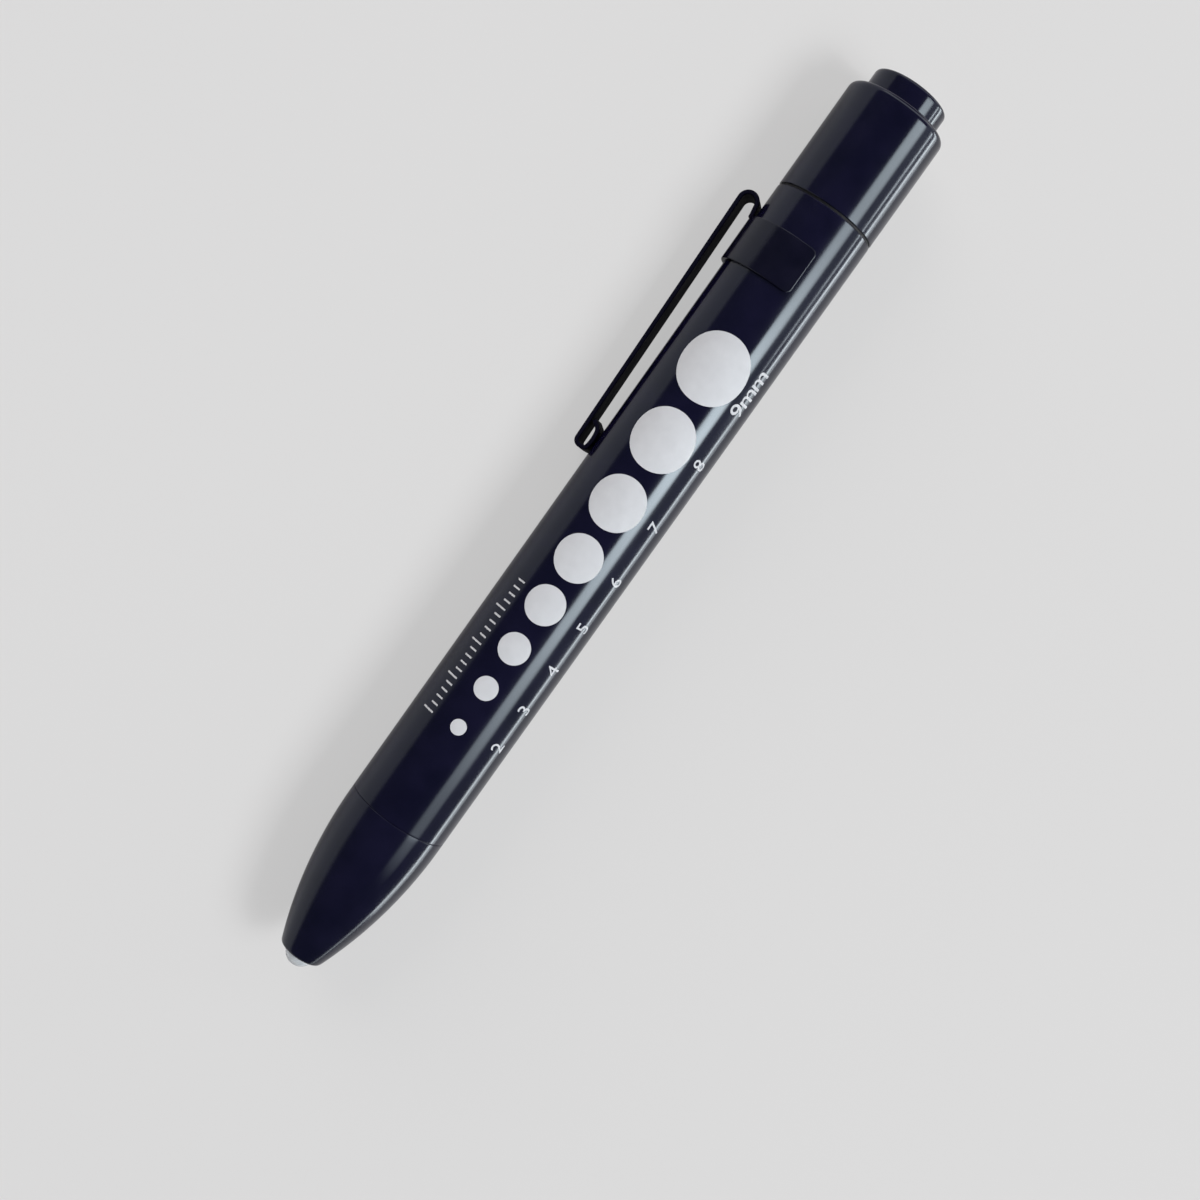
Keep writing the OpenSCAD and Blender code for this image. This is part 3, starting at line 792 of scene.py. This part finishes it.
def make_moulded(name, dark, light, rough, scale):
    """Moulded plastic, board or rubber with a fine pebbled skin."""
    material, tree, shader, coords = node_material(name)
    cloud = noise(tree, coords, scale * 0.3, 4)
    tree.links.new(ramp(tree, cloud, [(0.3, dark), (0.7, light)]), shader.inputs["Base Color"])
    pebble = noise(tree, coords, scale, 3)
    tree.links.new(span(tree, pebble, *rough), shader.inputs["Roughness"])
    bump(tree, pebble, shader, 0.12, 0.00004)
    return material


MATERIALS = {
    "body_black": make_gloss_black(),
    "clip_black": make_clip_black("polished_spring_steel", rough=(0.14, 0.22), level=0.4),
    "lamp_lens": make_epoxy(),
    "bright_steel": make_metal(
        "nickel_plate", dark=(0.50, 0.51, 0.52), light=(0.66, 0.66, 0.66), rough=(0.2, 0.34),
        scale=2400, stretch=(0.1, 1, 1),
    ),
    "spring_steel": make_metal(
        "spring_wire", dark=(0.42, 0.42, 0.43), light=(0.60, 0.60, 0.60), rough=(0.24, 0.4),
        scale=3000, stretch=(1, 1, 1),
    ),
    "brass": make_metal(
        "brass_turned", dark=(0.56, 0.38, 0.13), light=(0.72, 0.52, 0.22), rough=(0.22, 0.36),
        scale=2600, stretch=(1, 0.2, 0.2),
    ),
    "nylon": make_moulded(
        "nylon_moulded", dark=(0.72, 0.70, 0.63), light=(0.80, 0.78, 0.71), rough=(0.42, 0.58), scale=2600
    ),
    "board_green": make_moulded(
        "board_mask", dark=(0.035, 0.16, 0.06), light=(0.05, 0.21, 0.08), rough=(0.28, 0.42), scale=2000
    ),
    "jacket_blue": make_moulded(
        "cell_jacket", dark=(0.05, 0.16, 0.36), light=(0.07, 0.21, 0.44), rough=(0.22, 0.34), scale=1500
    ),
    # Black rubber, its colour made darker still as painted shade for the recess of the tail seam
    "seal_rubber": make_moulded(
        "seal_rubber", dark=(0.004, 0.004, 0.005), light=(0.008, 0.008, 0.009), rough=(0.6, 0.8),
        scale=3200,
    ),
}
print_white = make_print_white()
satin_steel = make_clip_black("satin_spring_steel", rough=(0.5, 0.65), level=0.1)


def dress(obj, material):
    """Gives an object this material alone."""
    obj.data.materials.clear()
    obj.data.materials.append(material)


node_slots = {part["node"]: part["material_slot"] for part in frame["record"]["subparts"]}
for node, obj in frame["nodes"].items():
    dress(obj, MATERIALS[node_slots[node]])


# What each piece stands for and rides on


for piece, node, body in (
    (nose_shell, "nose_cone", "body"),
    (lamp_body, "led_lens", "body"),
    (barrel_tube, "barrel", "body"),
    (clip_ring, "clip_band", "body"),
    (cap_shell, "tail_cap", "tail_cap"),
    (button_shell, "push_button", "push_button"),
):
    dress(piece, MATERIALS[node_slots[node]])
    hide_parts(node)
    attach(piece, body)

for film in prints:
    dress(film, print_white)
    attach(film, "body")

# Rows of coil, part, fixed body, moving body and the stations of its first and last wire's middle: the coil takes
# the part's material and stands in for it, and the last four columns are not used
for coil, node, fixed, moving, start, stop in (
    (battery_coil, "battery_spring", "body", "tail_spring", 83.5, 88.25),
    (button_coil, "button_spring", "tail_cap", "push_button", 98.95, 104.95),
    (latch_coil, "latch_spring", "tail_cap", "push_button", 89.35, 91.9),
):
    dress(coil, MATERIALS[node_slots[node]])
    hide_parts(node)
    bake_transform(coil)

# The strip takes the satin finish and stands in for the clip's arm, in its resting shape
dress(clip_strip, satin_steel)
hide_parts("clip_arm")
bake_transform(clip_strip)


# Camera at the photograph's place


CAMERA_FOOT = 47.80
CAMERA_AWAY = 194.99
CAMERA_LIFT = math.radians(FACING) - CLIP_DIP
CAMERA_LENS = 48
CAMERA_SENSOR = 36

tailward = Vector((-1, 0, 0))
inward = Vector((0, math.cos(CAMERA_LIFT), -math.sin(CAMERA_LIFT)))
sideways = Vector((0, math.sin(CAMERA_LIFT), math.cos(CAMERA_LIFT)))
foot = place(0, 0, CAMERA_FOOT)


def seen(along, across, into):
    """Direction from its parts along the pen, across it and away from the camera."""
    return (tailward * along + sideways * across + inward * into).normalized()


def make_camera():
    """Camera above its foot on the pen's axis, turned as the photograph shows the pen."""
    data = bpy.data.cameras.new("photo_camera")
    data.lens = CAMERA_LENS
    data.sensor_width = CAMERA_SENSOR
    data.sensor_height = CAMERA_SENSOR
    data.sensor_fit = "HORIZONTAL"
    data.clip_start = 0.01
    camera = bpy.data.objects.new("photo_camera", data)
    bpy.context.scene.collection.objects.link(camera)
    right = seen(0.58000, 0.81447, 0.01527)
    down = seen(-0.81231, 0.57967, -0.06437)
    forward = seen(-0.06128, 0.02493, 0.99781)
    turn = Matrix((right, -down, -forward)).transposed().to_4x4()
    camera.matrix_world = Matrix.Translation(foot - inward * CAMERA_AWAY * MM) @ turn
    bpy.context.scene.camera = camera


make_camera()


# Floor and light, in metres


FLOOR_HALF = 30.0
FLOOR_LEVEL = (0.8, 0.8, 0.8)
FLOOR_SHARES = {"Is Camera Ray": 0.6, "Is Glossy Ray": 0.15, "Is Transmission Ray": 0.15}

SKY = (0.94, 0.98, 1.0)
WARM = (1.0, 0.97, 0.94)
BLACK = (0, 0, 0)
ROOM = (0.084, 0.096, 0.12)
TAIL_GLOW = (2.0, 1.97, 1.94)
HAZE = (0.42, 0.41, 0.40)

# Uneven faces of the panels: (position, level) stops, along them from the nose to the tail and across them
EVEN = [(0.0, 1.0), (1.0, 1.0)]
SOFT_EDGES = [(0.0, 0.0), (0.4, 1.0), (0.6, 1.0), (1.0, 0.0)]
WINDOW_ALONG = [
    (0.15, 0.0), (0.25, 0.06), (0.348, 0.1), (0.386, 0.1), (0.418, 0.2), (0.488, 0.4),
    (0.5975, 0.72), (0.695, 1.0), (0.766, 0.66), (0.842, 0.36), (0.885, 0.385), (0.935, 0.5),
]
WINDOW_ACROSS = [(0.0, 0.1), (0.12, 0.7), (0.3, 1.0), (0.75, 1.0), (0.9, 0.9), (1.0, 0.5)]
SIDE_SKY_ALONG = [(0.1, 0.1), (0.35, 0.5), (0.7, 1.0)]
SIDE_STRIP_ALONG = [(0.0, 0.2), (0.32, 0.42), (0.45, 0.8), (0.6, 0.85), (0.8, 1.0)]
TAIL_STRIP_ALONG = [(0.0, 0.27), (0.1, 0.53), (0.45, 0.55), (0.65, 0.78), (0.785, 1.0)]


def make_floor():
    """Pale floor. Camera, mirrored and transmitted rays see a share of it as one plain level."""
    mesh = bpy.data.meshes.new("floor")
    corners = [(x * FLOOR_HALF, y * FLOOR_HALF, 0) for x, y in ((-1, -1), (1, -1), (1, 1), (-1, 1))]
    mesh.from_pydata(corners, [], [(0, 1, 2, 3)])
    floor = bpy.data.objects.new("floor", mesh)
    bpy.context.scene.collection.objects.link(floor)
    material, tree, shader, coords = node_material("pale_floor")
    cloud = noise(tree, coords, 6, 2)
    colour = ramp(tree, cloud, [(0.3, (0.52, 0.50, 0.49)), (0.7, (0.54, 0.52, 0.51))])
    tree.links.new(colour, shader.inputs["Base Color"])
    shader.inputs["Roughness"].default_value = 0.9
    shader.inputs["Specular IOR Level"].default_value = 0.0
    plain = tree.nodes.new("ShaderNodeEmission")
    plain.inputs["Color"].default_value = (*FLOOR_LEVEL, 1)
    rays = tree.nodes.new("ShaderNodeLightPath")
    share = None
    for ray, part in FLOOR_SHARES.items():
        total = tree.nodes.new("ShaderNodeMath")
        total.operation = "MULTIPLY_ADD"
        tree.links.new(rays.outputs[ray], total.inputs[0])
        total.inputs[1].default_value = part
        total.inputs[2].default_value = 0
        if share:
            tree.links.new(share, total.inputs[2])
        share = total.outputs["Value"]
    mix = tree.nodes.new("ShaderNodeMixShader")
    tree.links.new(share, mix.inputs["Fac"])
    tree.links.new(shader.outputs["BSDF"], mix.inputs[1])
    tree.links.new(plain.outputs["Emission"], mix.inputs[2])
    tree.links.new(mix.outputs["Shader"], tree.nodes["Material Output"].inputs["Surface"])
    dress(floor, material)


def softbox(name, direction, distance, width, length, radiance, colour, shift=0.0):
    """Area light aimed at the pen, its long side along it; shift moves it towards the tail."""
    data = bpy.data.lights.new(name, "AREA")
    data.shape = "RECTANGLE"
    data.size = length
    data.size_y = width
    data.energy = radiance * width * length * math.pi
    data.color = colour
    light = bpy.data.objects.new(name, data)
    bpy.context.scene.collection.objects.link(light)
    back = direction.normalized()
    along = (tailward - back * tailward.dot(back)).normalized()
    turn = Matrix((along, back.cross(along), back)).transposed().to_4x4()
    light.matrix_world = Matrix.Translation(foot + back * distance + tailward * shift) @ turn
    light.visible_camera = False
    return light


def around(angle, along=0.0):
    """Direction from the pen, an angle from the camera's side towards the print's figures."""
    return -inward * cos_deg(angle) + sideways * sin_deg(angle) + tailward * along


def shape(light, along_stops, across_stops):
    """Gives a softbox an uneven face by its stops along and across it."""
    light.data.use_nodes = True
    tree = light.data.node_tree
    spot = tree.nodes.new("ShaderNodeNewGeometry")
    split = tree.nodes.new("ShaderNodeSeparateXYZ")
    tree.links.new(spot.outputs["Parametric"], split.inputs["Vector"])
    level = tree.nodes.new("ShaderNodeMath")
    level.operation = "MULTIPLY"
    for socket, axis, stops in ((0, "X", along_stops), (1, "Y", across_stops)):
        grey = ramp(tree, split.outputs[axis], [(position, (value,) * 3) for position, value in stops])
        tree.links.new(grey, level.inputs[socket])
    tree.links.new(level.outputs["Value"], tree.nodes["Emission"].inputs["Strength"])


def make_lights():
    """Window with its streak on the pen, four panels that only show mirrored, and a fill that doesn't."""
    window = softbox(
        "window", around(56.5), distance=1.5, width=0.71, length=1.6, radiance=18.0, colour=SKY,
        shift=-0.198,
    )
    shape(window, WINDOW_ALONG, WINDOW_ACROSS)
    side_sky = softbox(
        "side_sky", around(88), distance=0.9, width=0.5, length=1.4, radiance=0.6, colour=SKY,
        shift=0.15,
    )
    shape(side_sky, SIDE_SKY_ALONG, EVEN)
    side_strip = softbox(
        "side_strip", around(106), distance=0.6, width=0.07, length=1.3, radiance=12.0, colour=SKY,
        shift=-0.2,
    )
    shape(side_strip, SIDE_STRIP_ALONG, SOFT_EDGES)
    tail_strip = softbox(
        "tail_strip", around(91), distance=0.61, width=0.05, length=0.2, radiance=16.0, colour=SKY,
        shift=0.18,
    )
    shape(tail_strip, TAIL_STRIP_ALONG, SOFT_EDGES)
    side_glow = softbox(
        "side_glow", around(110), distance=0.62, width=0.12, length=0.8, radiance=3.2, colour=SKY
    )
    for panel in (side_sky, side_strip, tail_strip, side_glow):
        panel.visible_diffuse = False
    fill = softbox(
        "fill", around(-38, 0.5), distance=1.5, width=0.8, length=0.8, radiance=6.4, colour=WARM
    )
    fill.visible_glossy = False


def make_world():
    """Dim bluish room with a soft ring of light behind the tail and pale haze low down."""
    world = bpy.data.worlds.new("studio")
    world.use_nodes = True
    tree = world.node_tree
    coords = tree.nodes.new("ShaderNodeTexCoord")
    split = tree.nodes.new("ShaderNodeSeparateXYZ")
    tree.links.new(coords.outputs["Generated"], split.inputs["Vector"])
    behind = tree.nodes.new("ShaderNodeVectorMath")
    behind.operation = "DOT_PRODUCT"
    behind.inputs[1].default_value = tailward
    tree.links.new(coords.outputs["Generated"], behind.inputs[0])
    ring = [(0.62, ROOM), (0.74, TAIL_GLOW), (0.83, TAIL_GLOW), (0.9, ROOM)]
    glow = ramp(tree, behind.outputs["Value"], ring)
    low = ramp(tree, split.outputs["Z"], [(0.0, HAZE), (0.07, BLACK)])
    light = tree.nodes.new("ShaderNodeVectorMath")
    light.operation = "ADD"
    tree.links.new(low, light.inputs[0])
    tree.links.new(glow, light.inputs[1])
    tree.links.new(light.outputs["Vector"], tree.nodes["Background"].inputs["Color"])
    bpy.context.scene.world = world


make_floor()
make_lights()
make_world()
bpy.context.scene.view_settings.view_transform = "Standard"
